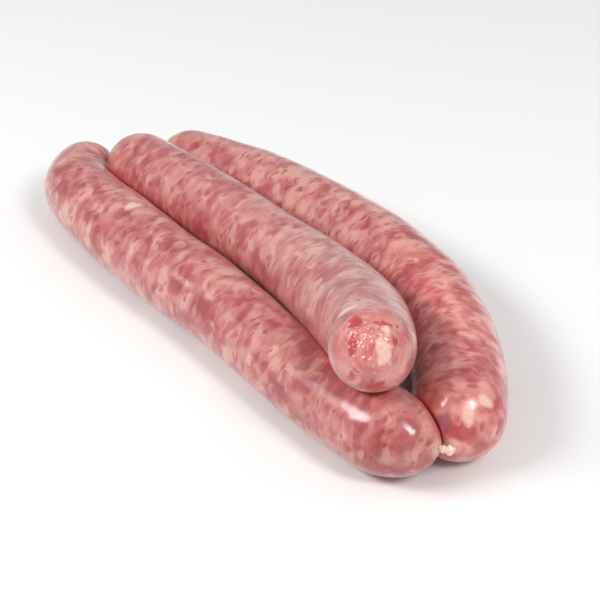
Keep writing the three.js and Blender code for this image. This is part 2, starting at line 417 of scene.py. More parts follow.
def laid_rings(rings, sides, relief=None, neighbours=()):
    """Points round every ring, their unbent places and how far they are from the next link."""
    angle = ring_angles(sides)
    ahead = direction(rings["heading"], rings["elevation"])
    left = direction(rings["heading"] + 90, 0 * rings["heading"])
    up = np.cross(ahead, left)
    spoke = left[:, None] * np.cos(angle)[:, None] + up[:, None] * np.sin(angle)[:, None]
    radius = rings["radius"][:, None, None]
    points = rings["centre"][:, None] + radius * spoke
    flat_ring = np.stack([np.cos(angle), np.sin(angle)], -1) * radius
    travel = np.broadcast_to(rings["travel"][:, None, None], flat_ring.shape[:2] + (1,))
    unbent = np.concatenate([travel, flat_ring], -1)
    middles = np.broadcast_to(rings["middle"][:, None], points.shape)
    gaps = gaps_beside(points.reshape(-1, 3), neighbours)
    alone = np.full(points[..., 0].size, NO_NEIGHBOUR)
    gap = np.min([*gaps.values(), alone], axis=0).reshape(points.shape[:2])
    if relief is not None:
        outward = points - middles
        outward = outward / np.linalg.norm(outward, axis=-1)[..., None]
        height = relief(angle, rings, unbent) * smooth_step((gap + RELIEF_LEFT) / FLATTENED)
        points = points + height[..., None] * outward
    if neighbours:
        points = press_back(points.reshape(-1, 3), middles.reshape(-1, 3), gaps).reshape(points.shape)
    points[..., 2] = np.maximum(points[..., 2], TABLE_FLAT) - TABLE_FLAT
    return points + HEAP_SHIFT, unbent, gap


# Painted shade: the creases between links and the skin near another link are painted deep red, as shade
# there looks.
CREASE_REACH = 1.5
SHADE_REACH = 6.0


def painted_crease_shade(gap):
    """Painted crease shade: 1 where two links touch, falling to 0 a few millimetres away."""
    apart = np.clip(gap, 0, None)
    return 0.6 * np.exp(-apart / CREASE_REACH) + 0.4 * np.exp(-apart / SHADE_REACH)


print("points round a link:", SKIN_SIDES, "and how tucked in they are 0, 1 and 5 mm from the next link:",
      painted_crease_shade(np.array([0.0, 1.0, 5.0])).round(2))

# %% [markdown]
# ## From points to a mesh
# A mesh is a list of points and a list of faces that name their corners. Rows of points round a tube
# make a grid of four-sided faces, and a fan of triangles closes either end, as the real casing is
# closed too. Faces are smooth, so the skin shows no edges. What a finish must know about a place is stored
# as attributes on the points.

# %% A closed mesh from rows of points
def closed_skin(name, points, unbent, numbers=None):
    """A mesh object from rows of points round a tube, closed at both ends by one point each."""
    rows, sides = points.shape[:2]
    ends = np.stack([points[0].mean(0), points[-1].mean(0)])
    spots = np.concatenate([points.reshape(-1, 3), ends])
    row, side = np.meshgrid(np.arange(rows - 1), np.arange(sides), indexing="ij")
    after = (side + 1) % sides
    corners = [row * sides + side, row * sides + after, (row + 1) * sides + after, (row + 1) * sides + side]
    quads = np.stack(corners, -1).reshape(-1, 4)
    edge = np.arange(sides)
    first = np.stack([np.full(sides, rows * sides), (edge + 1) % sides, edge], -1)
    base = (rows - 1) * sides
    last = np.stack([np.full(sides, rows * sides + 1), base + edge, base + (edge + 1) % sides], -1)
    faces = quads.tolist() + first.tolist() + last.tolist()
    mesh = bpy.data.meshes.new(name)
    mesh.from_pydata((spots * MM).tolist(), [], faces)
    mesh.polygons.foreach_set("use_smooth", np.ones(len(faces), bool))
    places = np.concatenate([unbent.reshape(-1, 3), unbent[0].mean(0)[None], unbent[-1].mean(0)[None]])
    mesh.attributes.new("unbent", "FLOAT_VECTOR", "POINT").data.foreach_set("vector", places.ravel())
    for key, values in (numbers or {}).items():
        with_ends = np.concatenate([values.ravel(), [values[0].mean(), values[-1].mean()]])
        mesh.attributes.new(key, "FLOAT", "POINT").data.foreach_set("value", with_ends)
    mesh.validate()
    mesh.update()
    piece = bpy.data.objects.new(name, mesh)
    bpy.context.scene.collection.objects.link(piece)
    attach(piece, "root")
    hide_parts("sausage_string")
    print(name + ":", len(faces), "faces")
    return piece


# %% [markdown]
# ## Chunks that the photograph shows
# Most flecks may fall anywhere, but some chunks catch the eye: purple and cream ones at the fronts
# of the links, red patches round the cut, and a lump of fat in it. Each is a soft patch at a place
# on the straightened link, given by its travel along the link and its offsets across it. A patch is
# a number from 0 to 1 on every point, and the finish mixes its colour in by that number.

# %% Soft patches at chosen places
PATCH_EDGE = 1.25
PATCH_SOFTNESS = 0.7


def patch(unbent, place, size, seed, torn):
    """1 inside a patch and 0 outside, with a torn soft edge. place and size are in millimetres."""
    offset = (unbent - np.asarray(place, float)) / np.asarray(size, float)
    edge = torn * (hills(unbent, 2.6, seed) + 0.6 * hills(unbent, 1.2, seed + 50))
    return smooth_step((PATCH_EDGE - np.linalg.norm(offset, axis=-1) + edge) / PATCH_SOFTNESS)


def patches(unbent, listed, seed, torn=0.35):
    """The strongest of several patches at every point."""
    best = np.zeros(unbent.shape[:-1])
    for k, (place, size) in enumerate(listed):
        best = np.maximum(best, patch(unbent, place, size, seed + k, torn))
    return best


def near_line(unbent, start, end):
    """Distances from points to the line between two places on the straightened link."""
    a, b = np.asarray(start, float), np.asarray(end, float)
    share = np.clip(((unbent - a) @ (b - a)) / ((b - a) @ (b - a)), 0, 1)
    return np.linalg.norm(unbent - a - share[..., None] * (b - a), axis=-1)


far_off = near_line(np.array([3.0, 4.0, 0.0]), (0, 0, 0), (9, 0, 0))
print("a point 4 mm beside a line is", far_off.round(2), "mm from it")

# %% [markdown]
# ## The pointed link
# The front left link lies on the table. It hooks round at the back, where it is twisted to the link
# on top, and runs out into a slender tip at the front. A skin could start coarse and be refined by a
# subdivision modifier. But the lumps and pleats need fine points anyway, so the rings lie two thirds
# of a millimetre apart from the start.

# %% Latitudes and stations of a skin
SKIN_STEP = 0.66
CAP_STEPS = 56
LAST_LATITUDE = 88.6


def link_stack(link):
    """All rings of a closed link, from its back pole to its front pole."""
    latitudes = np.linspace(0, LAST_LATITUDE, CAP_STEPS + 1)[1:]
    body = body_rings(link, np.linspace(0, 1, round(link["length"] / SKIN_STEP)))
    return joined(cap_rings(link, -1, latitudes[::-1]), body, cap_rings(link, 1, latitudes))


print("rings of the pointed link:", len(link_stack(POINTED_LINK)["radius"]))


# %% Lumps and skin of the pointed link
def lumps(unbent, seed):
    """The low hills of coarse meat under the casing, in millimetres."""
    broad = 0.34 * hills(unbent, (19, 15, 15), seed)
    middling = 0.09 * hills(unbent, (6.0, 7.5, 7.5), seed + 1)
    small = 0.03 * hills(unbent, (2.6, 3.6, 3.6), seed + 2)
    return broad + middling + small


def pointed_relief(angle, rings, unbent):
    """Lumps, and pleats at both ends."""
    travel, radius = rings["travel"][:, None], rings["radius"][:, None]
    at_back = travel < POINTED_LINK["length"] / 2
    gathered = 0.55 * pleats(angle, radius, 11, 15, 8) * at_back
    gathered += 0.3 * pleats(angle, radius, 12, 11, 7) * ~at_back
    return lumps(unbent, 20) * smooth_step(radius / 9) + gathered


POINTED_PURPLE = (((228.7, -7.7, 14.0), (2.2, 3.0, 2.6)),)
POINTED_CREAM = (((69.0, 1.0, 16.5), (2.4, 3.6, 3.0)),)

points, unbent, gap = laid_rings(
    link_stack(POINTED_LINK), SKIN_SIDES, pointed_relief, neighbours=("open", "bowed"))
pointed_skin = closed_skin("pointed_link", points, unbent, {
    # Painted shade in the creases where this link touches the others.
    "painted_crease_shade": painted_crease_shade(gap),
    "purple": patches(unbent, POINTED_PURPLE, 93),
    "cream": patches(unbent, POINTED_CREAM, 97),
})
print("points that touch another link:", (gap < CONTACT_GAP).sum())

# %% [markdown]
# ## The bowed link
# The right-hand link bends like a bow and ends in a round front. There the loose casing lies in the
# long folds, which fan out from the twist. It is made just as the pointed link is, with other random
# seeds, so that no two links show the same lumps.

# %% Skin of the bowed link
def bowed_relief(angle, rings, unbent):
    """Lumps, pleats at both ends, and the long folds in front."""
    travel, radius = rings["travel"][:, None], rings["radius"][:, None]
    at_back = travel < BOWED_LINK["length"] / 2
    gathered = 0.5 * pleats(angle, radius, 31, 14, 7) * at_back
    gathered += 0.35 * pleats(angle, radius, 32, 13, 6) * ~at_back
    folds = long_folds(angle, radius, 17.0) * (travel > BOWED_LINK["length"])
    return lumps(unbent, 40) * smooth_step(radius / 9) + gathered + folds


BOWED_PURPLE = (((239.4, -4.0, 8.4), (3.4, 3.2, 4.2)), ((205.0, -8.5, 14.5), (3.0, 4.5, 3.5)))
BOWED_CREAM = (((237.6, 4.0, 10.8), (4.2, 1.9, 3.4)), ((232.0, 9.0, 12.0), (1.8, 3.4, 2.6)))

points, unbent, gap = laid_rings(
    link_stack(BOWED_LINK), SKIN_SIDES, bowed_relief, neighbours=("open", "pointed"))
bowed_skin = closed_skin("bowed_link", points, unbent, {
    # Painted shade in the creases where this link touches the others.
    "painted_crease_shade": painted_crease_shade(gap),
    "purple": patches(unbent, BOWED_PURPLE, 91),
    "cream": patches(unbent, BOWED_CREAM, 95),
})
print("points that touch another link:", (gap < CONTACT_GAP).sum())

# %% [markdown]
# ## The open link and its cut end
# The link on top was cut off the string, so its casing stops at a thin rim. The bare meat swells out
# of the opening and over the rim, so the rim itself hardly shows. A cut could be made with a Boolean,
# but its edge would be ragged and hard to colour. Instead casing and meat are two closed pieces, and
# the meat starts under the casing, so no gap is seen.
# Near the back end a fold in the casing runs down the side, pressed in a little.

# %% Rings of the open link
RIM_RADIUS = 10.2
RIM_THICKNESS = 0.1
RIM_DEPTH = 1.4
LIP_RINGS = 14
SMALLEST_OPENING = 0.6


def rim_latitude(radius):
    """The latitude, in degrees, where the front cap of the open link has this radius."""
    cap = OPEN_LINK["front"]
    return np.degrees(np.arccos((radius / OPEN_LINK["radii"][-1]) ** (1 / cap["point"])))


def open_stack():
    """Rings of the open link's casing: closed at the back, folded in over the rim at the front."""
    latitudes = np.linspace(0, LAST_LATITUDE, CAP_STEPS + 1)[1:]
    body = body_rings(OPEN_LINK, np.linspace(0, 1, round(OPEN_LINK["length"] / SKIN_STEP)))
    front = cap_rings(OPEN_LINK, 1, np.linspace(0, rim_latitude(RIM_RADIUS), 30)[1:])
    lip = cap_rings(OPEN_LINK, 1, np.full(LIP_RINGS, rim_latitude(RIM_RADIUS)))
    turn = np.linspace(0, 1, LIP_RINGS + 1)[1:]
    closing = (RIM_RADIUS - SMALLEST_OPENING) * smooth_step((turn - 0.5) / 0.5)
    lip["radius"] = RIM_RADIUS - RIM_THICKNESS * np.sin(turn * np.pi / 2) - closing
    back_off = RIM_THICKNESS * (1 - np.cos(turn * np.pi / 2)) + RIM_DEPTH * smooth_step(turn / 0.6)
    lip["centre"] = lip["centre"] - direction(lip["heading"], lip["elevation"]) * back_off[:, None]
    lip["travel"] = lip["travel"] - back_off
    return joined(cap_rings(OPEN_LINK, -1, latitudes[::-1]), body, front, lip)


print("the rim lies at", rim_latitude(RIM_RADIUS).round(1), "degrees of latitude")

# %% Relief and skin of the open link
RED_PATCHES = (((213.8, -6.8, -0.6), (9, 1.5, 3.8)), ((211.0, -5.2, 8.2), (9, 2.6, 2.3)),
               ((212.0, 4.6, 7.8), (9, 3.6, 1.2)), ((210.3, -6.4, -8.8), (9, 2.8, 2.0)),
               ((208.2, 0.3, -12.6), (9, 6.0, 1.7)), ((213.0, 7.6, 1.0), (9, 1.1, 2.4)))
OPEN_PURPLE = (((186.0, -15.0, -3.0), (2.6, 3.0, 4.0)),)
OPEN_CREAM = (((197.0, -9.0, 12.6), (2.6, 5.0, 3.4)),)
FOLD_START = (4.3, -6.3, 14.3)
FOLD_END = (14.9, -14.9, 5.2)
FOLD_DEPTH = 0.45
FOLD_WIDTH = 0.9
STREAK_WIDTH = 1.3
OPEN_LUMPS = 60


def open_relief(angle, rings, unbent):
    """Lumps, pleats at the back, and the fold down the side."""
    travel, radius = rings["travel"][:, None], rings["radius"][:, None]
    at_back = travel < OPEN_LINK["length"] / 2
    gathered = 0.5 * pleats(angle, radius, 51, 15, 8) * at_back
    fold = -FOLD_DEPTH * np.exp(-((near_line(unbent, FOLD_START, FOLD_END) / FOLD_WIDTH) ** 2))
    return lumps(unbent, OPEN_LUMPS) * smooth_step(radius / 9) + gathered + fold


points, unbent, gap = laid_rings(
    open_stack(), SKIN_SIDES, open_relief, neighbours=("pointed", "bowed"))
rim_travel = cap_rings(OPEN_LINK, 1, np.array([rim_latitude(RIM_RADIUS)]))["travel"][0]
open_skin = closed_skin("open_link", points, unbent, {
    # Painted shade in the creases where this link touches the others.
    "painted_crease_shade": painted_crease_shade(gap),
    "purple": patches(unbent, OPEN_PURPLE, 94),
    "cream": patches(unbent, OPEN_CREAM, 98),
    "thin": smooth_step((unbent[..., 0] - rim_travel + 5.0) / 4.0),
    "red": patches(unbent, RED_PATCHES, 85, 0.9),
    "streak": np.exp(-((near_line(unbent, FOLD_START, FOLD_END) / STREAK_WIDTH) ** 2)),
})
print("points that touch another link:", (gap < CONTACT_GAP).sum())

# %% [markdown]
# ## Bare meat
# Bare coarse meat is a heap of small grains with creases between them. A bump in the finish could
# fake them, but the cut is seen from close by and from the side, so they are real relief.
# Random centres are spread through space, and each grain is the place round one of them. On the
# border between two grains both centres are equally far off. So the difference of the distances to
# the two nearest centres is nothing in a crease and grows towards the middle of a grain.

# %% Grains of meat
CREASE_WIDTH = 0.55


def grains(places, size, seed):
    """Domed grains from 0 in the creases to about 1 on their tops."""
    rng = np.random.default_rng(seed)
    low = np.floor(places.min((0, 1)) / size).astype(int) - 2
    high = np.floor(places.max((0, 1)) / size).astype(int) + 3
    cells = np.stack(np.meshgrid(*[np.arange(a, b) for a, b in zip(low, high)], indexing="ij"), -1)
    centres = (cells.reshape(-1, 3) + rng.uniform(0.1, 0.9, (cells.size // 3, 3))) * size
    flat = places.reshape(-1, 3)
    nearest = np.empty((len(flat), 2))
    for part in parts_of(len(flat)):
        far = np.linalg.norm(flat[part][:, None] - centres[None], axis=2)
        nearest[part] = np.partition(far, 1, axis=1)[:, :2]
    crease = nearest[:, 1] - nearest[:, 0]
    return smooth_step(crease / (CREASE_WIDTH * size)).reshape(places.shape[:2])


square = np.stack(np.meshgrid(np.arange(9.0), np.arange(9.0), [0.0]), -1)[:, :, 0]
print("grains are on average this high:", grains(square, 4.2, 71).mean().round(2))

# %% [markdown]
# ## The dome of bare meat
# The cut meat bulges where the casing no longer holds it. Its dome starts a tenth of a millimetre
# under the casing, comes out at the rim without a step and swells towards the middle. Behind it a
# short root closes the piece inside the link.
# A few wet grains stand up from the dome. Each is part of a ball, because a rounded top catches a
# small bright glint from any side.

# %% Rings of the bare meat
MEAT_SWELL = 0.9
MEAT_SIDES = 180
MEAT_RINGS = 130
UNDER_RIM = 0.12
OVERLAP = 0.7
ROOT_DEPTH = 3.0
ROOT_RINGS = 10


def meat_stack():
    """Rings of the meat: from behind the rim, under it, and up to the middle of the dome."""
    start = rim_latitude(RIM_RADIUS + OVERLAP)
    dome = cap_rings(OPEN_LINK, 1, np.linspace(start, LAST_LATITUDE, MEAT_RINGS))
    share = np.linspace(0, 1, MEAT_RINGS)
    dome["radius"] = dome["radius"] - UNDER_RIM * (1 - smooth_step(share / 0.07))
    swell = MEAT_SWELL * smooth_step(share / 0.5)
    dome["centre"] = dome["centre"] + direction(dome["heading"], dome["elevation"]) * swell[:, None]
    dome["travel"] = dome["travel"] + swell
    root = cap_rings(OPEN_LINK, 1, np.full(ROOT_RINGS, start))
    depth = ROOT_DEPTH * np.linspace(1, 0.1, ROOT_RINGS)
    half = ROOT_RINGS // 2
    root["radius"] = np.concatenate([np.linspace(0.6, 9.4, half), np.full(half, RIM_RADIUS)])
    root["centre"] = root["centre"] - direction(root["heading"], root["elevation"]) * depth[:, None]
    root["travel"] = root["travel"] - depth
    return joined(root, dome)


print("rings of the bare meat:", len(meat_stack()["radius"]))

# %% Relief and skin of the bare meat
FAT_LUMPS = (((214.6, 3.5, -3.6), (9, 2.8, 3.8)), ((214.0, 4.4, 4.6), (9, 1.5, 2.2)))
WET_GRAINS = (((214.5, 0.3, 5.2), 2.0, 1.15), ((214.0, 4.3, 4.7), 2.1, 1.3), ((212.1, -2.2, 8.2), 1.1, 0.7),
              ((214.4, -5.2, 1.8), 1.1, 0.7), ((212.7, -7.7, -1.8), 1.0, 0.6),
              ((212.8, -6.4, -4.5), 1.0, 0.6), ((213.8, -0.3, -6.5), 1.4, 0.75))


def meat_relief(angle, rings, unbent):
    """The same lumps as on the casing, and inside the rim the grains of bare meat."""
    shown = smooth_step((rings["travel"][:, None] - rim_travel) / 2.2)
    coarse = 0.4 * (grains(unbent, 4.2, 71) - 0.6)
    fine = 0.16 * (grains(unbent, 1.9, 72) - 0.5)
    soft = 0.3 * hills(unbent, (7, 6, 6), 73)
    ragged = 0.04 * hills(unbent, (2.4, 2.4, 2.4), 74)
    height = lumps(unbent, OPEN_LUMPS) + ragged + (coarse + fine + soft) * shown
    outside = (rings["travel"] > rim_travel - ROOT_DEPTH)[:, None]
    for place, radius, rise in WET_GRAINS:
        off = np.linalg.norm((unbent - np.array(place))[..., 1:], axis=-1) / radius
        height = height + rise * np.sqrt(np.clip(1 - off**2, 0, 1)) * outside
    return height


points, unbent, gap = laid_rings(
    meat_stack(), MEAT_SIDES, meat_relief, neighbours=("pointed", "bowed"))
cut_end = closed_skin("cut_end_meat", points, unbent, {
    "fat": patches(unbent, FAT_LUMPS, 75, 0.5),
    "red": patches(unbent, RED_PATCHES, 85, 0.9),
})

# %% [markdown]
# ## Twists of bare casing
# Between two links the casing is turned round a few times. It draws together into a small bead and a
# plump one with a waist between them, and thin ridges wind round the beads. The path from pole to
# pole is one Bezier curve. The same way of making beads serves for the tail behind the last link.

# %% Beads along a path
TWIST_WAIST = 0.95
SMALL_BEAD = 1.45
SMALL_BEAD_SPAN = (0.26, 0.13)
PLUMP_BEAD = 2.05
PLUMP_BEAD_SPAN = (0.62, 0.14)
TWIST_LEAD = 1.6
TWIST_SIDES = 48
TWIST_ROWS = 60
RIDGES = 5
RIDGE_TURNS = 1.6
RIDGE_HEIGHT = 0.12


def bezier(a, b, c, d, u):
    """Points of a curve from a to d that leaves towards b and arrives from c."""
    u = u[:, None]
    return a * (1 - u) ** 3 + 3 * b * u * (1 - u) ** 2 + 3 * c * u**2 * (1 - u) + d * u**3


def bead(u, radius, middle, spread):
    """How much a bead of this radius adds to the waist."""
    return (radius - TWIST_WAIST) * np.exp(-(((u - middle) / spread) ** 2))


def beaded_tube(name, path, thickness, seed):
    """A tube along a path, with ridges that wind round it."""
    ahead = np.gradient(path, axis=0)
    ahead /= np.linalg.norm(ahead, axis=1)[:, None]
    length = np.concatenate([[0], np.cumsum(np.linalg.norm(np.diff(path, axis=0), axis=1))])
    rings = {
        "centre": path,
        "middle": path,
        "radius": thickness,
        "heading": np.degrees(np.arctan2(ahead[:, 1], ahead[:, 0])),
        "elevation": np.degrees(np.arcsin(ahead[:, 2])),
        "travel": length,
    }

    def wound(angle, rings, unbent):
        """Ridges that wind round the tube, a little uneven."""
        share = (rings["travel"] / length[-1])[:, None]
        ridge = np.cos(RIDGES * angle + 2 * np.pi * RIDGES * RIDGE_TURNS * share + seed)
        uneven = 0.05 * hills(unbent, 0.9, seed)
        return (RIDGE_HEIGHT * ridge + uneven) * smooth_step(rings["radius"][:, None] / 0.8)

    points, unbent, _ = laid_rings(rings, TWIST_SIDES, wound)
    return closed_skin(name, points, unbent)


print("the small bead adds", bead(SMALL_BEAD_SPAN[0], SMALL_BEAD, *SMALL_BEAD_SPAN).round(2), "mm")


# %% A twist between two links
def twist_between(name, rings_from, rings_to, seed):
    """The beaded twist from the pole of one link to the pole of the next."""
    leave = direction(rings_from["heading"], rings_from["elevation"])[0] * TWIST_LEAD
    arrive = direction(rings_to["heading"], rings_to["elevation"])[0] * TWIST_LEAD
    a, d = rings_from["centre"][0], rings_to["centre"][0]
    u = np.linspace(0, 1, TWIST_ROWS)
    path = bezier(a, a + leave, d - arrive, d, u)
    thickness = TWIST_WAIST + bead(u, SMALL_BEAD, *SMALL_BEAD_SPAN) + bead(u, PLUMP_BEAD, *PLUMP_BEAD_SPAN)
    return beaded_tube(name, path, thickness, seed)


LAST_CAP_RING = np.array([84.0])


def reversed_rings(rings):
    """The same rings, followed the other way."""
    return {**rings, "heading": rings["heading"] + 180, "elevation": -rings["elevation"]}


open_back = reversed_rings(cap_rings(OPEN_LINK, -1, LAST_CAP_RING))
pointed_back = cap_rings(POINTED_LINK, -1, LAST_CAP_RING)
pointed_front = cap_rings(POINTED_LINK, 1, LAST_CAP_RING)
bowed_front = reversed_rings(cap_rings(BOWED_LINK, 1, LAST_CAP_RING))
back_twist = twist_between("back_twist", open_back, pointed_back, 81)
front_twist = twist_between("front_twist", pointed_front, bowed_front, 82)

# %% [markdown]
# ## The tail
# The bowed link is the last one of the string. At its back the casing is twisted shut too, and the
# short end that is left over sticks out. It is a beaded tube like the others, only it bends gently,
# grows thinner and ends in a round tip.

# %% The tail behind the last link
TAIL_LENGTH = 8.0
TAIL_TURN = 25.0
TAIL_TAPER = 0.35
TAIL_TIP = 0.14


def tail_piece():
    """The tail, from the back pole of the bowed link."""
    start = reversed_rings(cap_rings(BOWED_LINK, -1, LAST_CAP_RING))
    share = np.linspace(0, 1, TWIST_ROWS)
    heading = start["heading"] + TAIL_TURN * share
    elevation = start["elevation"] - TAIL_TURN * share
    steps = direction(heading, elevation) * TAIL_LENGTH / (TWIST_ROWS - 1)
    path = start["centre"] + np.cumsum(steps, 0)
    beads = (SMALL_BEAD - TWIST_WAIST) * np.sin(2 * np.pi * share) ** 2
    thickness = (TWIST_WAIST + beads) * (1 - TAIL_TAPER * share**3)
    into_tip = ((share - 1 + TAIL_TIP) / TAIL_TIP).clip(0, 1)
    round_end = np.sqrt(np.clip(1 - into_tip**2, 0.02, 1))
    return beaded_tube("tail", path, thickness * round_end, 83)


tail = tail_piece()

# %% [markdown]
# ## Building a finish from nodes
# A finish in Blender is a web of nodes. Each node does one small thing: it makes a random pattern,
# picks a range from it, or mixes two colours. Writing them by hand is long, so a small helper adds a
# node, sets its inputs, and joins whatever input is given as another node's output.

# %% A helper that adds nodes
def add(tree, kind, inputs=None, **settings):
    """Adds a node and returns it. Inputs are named or numbered, and may be values or outputs."""
    node = tree.nodes.new(kind)
    for key, value in settings.items():
        setattr(node, key, value)
    for key, value in (inputs or {}).items():
        if isinstance(value, bpy.types.NodeSocket):
            tree.links.new(value, node.inputs[key])
        else:
            node.inputs[key].default_value = value
    return node


print("kinds of shader node:", sum(kind.startswith("ShaderNode") for kind in dir(bpy.types)))


# %% Places and patterns on the skin
def unbent_places(tree):
    """Where each point was on the straightened link, in millimetres."""
    return add(tree, "ShaderNodeAttribute", attribute_name="unbent").outputs["Vector"]


def attribute(tree, name):
    """A number stored on the points of the mesh, or 0 on a mesh that doesn't have it."""
    return add(tree, "ShaderNodeAttribute", attribute_name=name).outputs["Fac"]


def stretched(tree, places, per_mm, shift=(0, 0, 0)):
    """Places scaled so that a pattern's size along and across the link can differ."""
    node = add(tree, "ShaderNodeVectorMath", {0: places, 1: per_mm, 2: shift}, operation="MULTIPLY_ADD")
    return node.outputs[0]


def noise(tree, places, detail=2.0, roughness=0.5):
    """A cloudy random pattern, one cloud wide for every unit of places."""
    settings = {"Vector": places, "Scale": 1.0, "Detail": detail, "Roughness": roughness}
    return add(tree, "ShaderNodeTexNoise", settings)


def bumped(tree, height, metres, strength):
    """The surface's direction, tilted as if height, times metres, stood up from it."""
    settings = {"Height": height, "Distance": metres, "Strength": strength}
    return add(tree, "ShaderNodeBump", settings).outputs["Normal"]


attributes = sorted({name for piece in (pointed_skin, bowed_skin, open_skin, cut_end)
                     for name in piece.data.attributes.keys() if not name.startswith(".")})
print("stored on the skins:", attributes)


# %% Numbers and colours in a finish
def ranged(tree, value, low, high, to_low=0.0, to_high=1.0):
    """A smooth step: to_low where value is below low, to_high where it is above high."""
    settings = {"Value": value, "From Min": low, "From Max": high, "To Min": to_low, "To Max": to_high}
    node = add(tree, "ShaderNodeMapRange", settings, interpolation_type="SMOOTHSTEP")
    return node.outputs["Result"]


def mixed(tree, share, a, b):
    """Colour a where share is 0 and colour b where share is 1."""
    return add(tree, "ShaderNodeMix", {0: share, 6: a, 7: b}, data_type="RGBA").outputs[2]


def times(tree, a, b):
    """A node that multiplies two numbers."""
    return add(tree, "ShaderNodeMath", {0: a, 1: b}, operation="MULTIPLY").outputs[0]


def plus(tree, a, b):
    """A node that adds two numbers."""
    return add(tree, "ShaderNodeMath", {0: a, 1: b}, operation="ADD").outputs[0]


def paint(r, g, b):
    """A colour as a screen shows it, from 0 to 255, turned into the light that Blender works with."""
    levels = np.array([r, g, b]) / 255
    light = np.where(levels < 0.04045, levels / 12.92, ((levels + 0.055) / 1.055) ** 2.4)
    return (*light.tolist(), 1.0)


print("mid pink as light:", [round(v, 3) for v in paint(213, 149, 147)])

# %% [markdown]
# ## Chunks as cells
# Ground meat is a mix of lean and fat pieces a few millimetres across. Cells with random centres
# make good pieces, as each cell has a random number of its own. Used as a tone, with soft borders,
# that number gives a mosaic of paler and darker chunks. Used as a choice, it picks a few cells as
# flecks, and the distance to the centre gives a fleck its soft edge.
# The places are bent by a slower random pattern first, or the pieces would all look like ovals.

# %% Chunks, flecks and clouds
def warped(tree, places, size, amount):
    """Places moved about by a slow random pattern, size and amount in millimetres."""
    slow = noise(tree, stretched(tree, places, (1 / size,) * 3), 1.0)
    halves = {0: slow.outputs["Color"], 1: (0.5, 0.5, 0.5)}
    centred = add(tree, "ShaderNodeVectorMath", halves, operation="SUBTRACT")
    moves = {0: centred.outputs[0], 1: (amount,) * 3, 2: places}
    return add(tree, "ShaderNodeVectorMath", moves, operation="MULTIPLY_ADD").outputs[0]


def sized(tree, places, size, shift=0.0):
    """Places scaled so that a pattern is size long along the link and around it, in millimetres."""
    per_mm = (1 / size[0], 1 / size[1], 1 / size[1])
    return stretched(tree, places, per_mm, (shift, shift * 0.7, shift * 0.3))


def mosaic(tree, places, size, shift, softness):
    """A random tone from 0 to 1 for every chunk, blended over the borders."""
    settings = {"Vector": sized(tree, places, size, shift), "Scale": 1.0, "Smoothness": softness}
    cells = add(tree, "ShaderNodeTexVoronoi", settings, feature="SMOOTH_F1")
    return add(tree, "ShaderNodeSeparateColor", {0: cells.outputs["Color"]}).outputs["Red"]


def flecks(tree, places, size, share, shift, edge=(0.72, 0.2)):
    """Soft-edged flecks: 1 on a fleck and 0 off it. share is how many of the cells show."""
    cells = add(tree, "ShaderNodeTexVoronoi", {"Vector": sized(tree, places, size, shift), "Scale": 1.0})
    channels = add(tree, "ShaderNodeSeparateColor", {0: cells.outputs["Color"]})
    chosen = ranged(tree, channels.outputs["Red"], 1 - share - 0.04, 1 - share + 0.04)
    inside = ranged(tree, cells.outputs["Distance"], edge[0], edge[1])
    return times(tree, chosen, inside)


def clouds(tree, places, size, low, high, shift, detail=2.0):
    """Ragged patches: 1 where a slow random pattern is above high and 0 where it is below low."""
    pattern = noise(tree, sized(tree, places, size, shift), detail, 0.55)
    return ranged(tree, pattern.outputs["Fac"], low, high)


print("patterns to choose from:", [maker.__name__ for maker in (mosaic, flecks, clouds)])

# %% [markdown]
# ## Meat under casing
# Under the casing the meat looks pink and a little milky, as the skin scatters light before it
# reaches the meat. First every place gets a tone, a sum of patterns from slow to fine. A colour ramp
# turns the tone into a colour, from red lean to pale fat. The stops of the ramp are set so that as
# much of the skin is dark, middling and pale as in the photograph. Flecks that differ in hue, such
# as purple lean and cream fat, are mixed in after that.

# %% Colours of the meat
TONE_STOPS = (
    (0.22, paint(146, 32, 42)),
    (0.33, paint(164, 66, 71)),
    (0.43, paint(176, 95, 95)),
    (0.50, paint(182, 111, 108)),
    (0.58, paint(190, 123, 118)),
    (0.70, paint(202, 144, 134)),
)
CREAM_FAT = paint(216, 172, 156)
CREAM_CHUNK = paint(230, 194, 180)
RED_LEAN = paint(170, 48, 52)
DARK_RED = paint(140, 26, 40)
PURPLE_LEAN = paint(136, 34, 66)
MILKY_VEIL = paint(218, 176, 166)
# Painted shade: the deep red that is painted into the creases where links touch.
CREASE_SHADE_RED = paint(180, 32, 36)
BARE_PINK = paint(232, 140, 132)
PALE_BITS = paint(222, 170, 162)
CUT_RED = paint(174, 34, 40)

print("stops of the tone ramp:", len(TONE_STOPS))


# %% From patterns to a tone and a colour
def weighted(tree, start, parts):
    """start plus every pattern's difference from its middle value, times its weight."""
    total = start
    for value, middle, weight in parts:
        settings = {0: value, 1: weight, 2: -middle * weight}
        part = add(tree, "ShaderNodeMath", settings, operation="MULTIPLY_ADD").outputs[0]
        total = plus(tree, total, part)
    return total


def toned(tree, tone):
    """The colour of a tone on the ramp from red lean to pale fat."""
    node = add(tree, "ShaderNodeValToRGB", {0: tone})
    ramp = node.color_ramp
    while len(ramp.elements) < len(TONE_STOPS):
        ramp.elements.new(0.5)
    for element, (place, colour) in zip(ramp.elements, TONE_STOPS):
        element.position = place
        element.color = colour
    return node.outputs["Color"]


print("tones run from", TONE_STOPS[0][0], "for lean to", TONE_STOPS[-1][0], "for fat")

# %% The mottled meat
FLECKS = (
    {"size": (3.8, 5.4), "share": 0.1, "shift": 3.1, "strength": 0.5, "colour": CREAM_FAT},
    {"size": (2.4, 4.6), "share": 0.17, "shift": 17.7, "strength": 0.75, "colour": RED_LEAN},
    {"size": (1.9, 3.4), "share": 0.12, "shift": 41.9, "strength": 0.75, "colour": DARK_RED},
    {"size": (3.2, 4.8), "share": 0.05, "shift": 53.3, "strength": 0.8, "colour": PURPLE_LEAN},
)
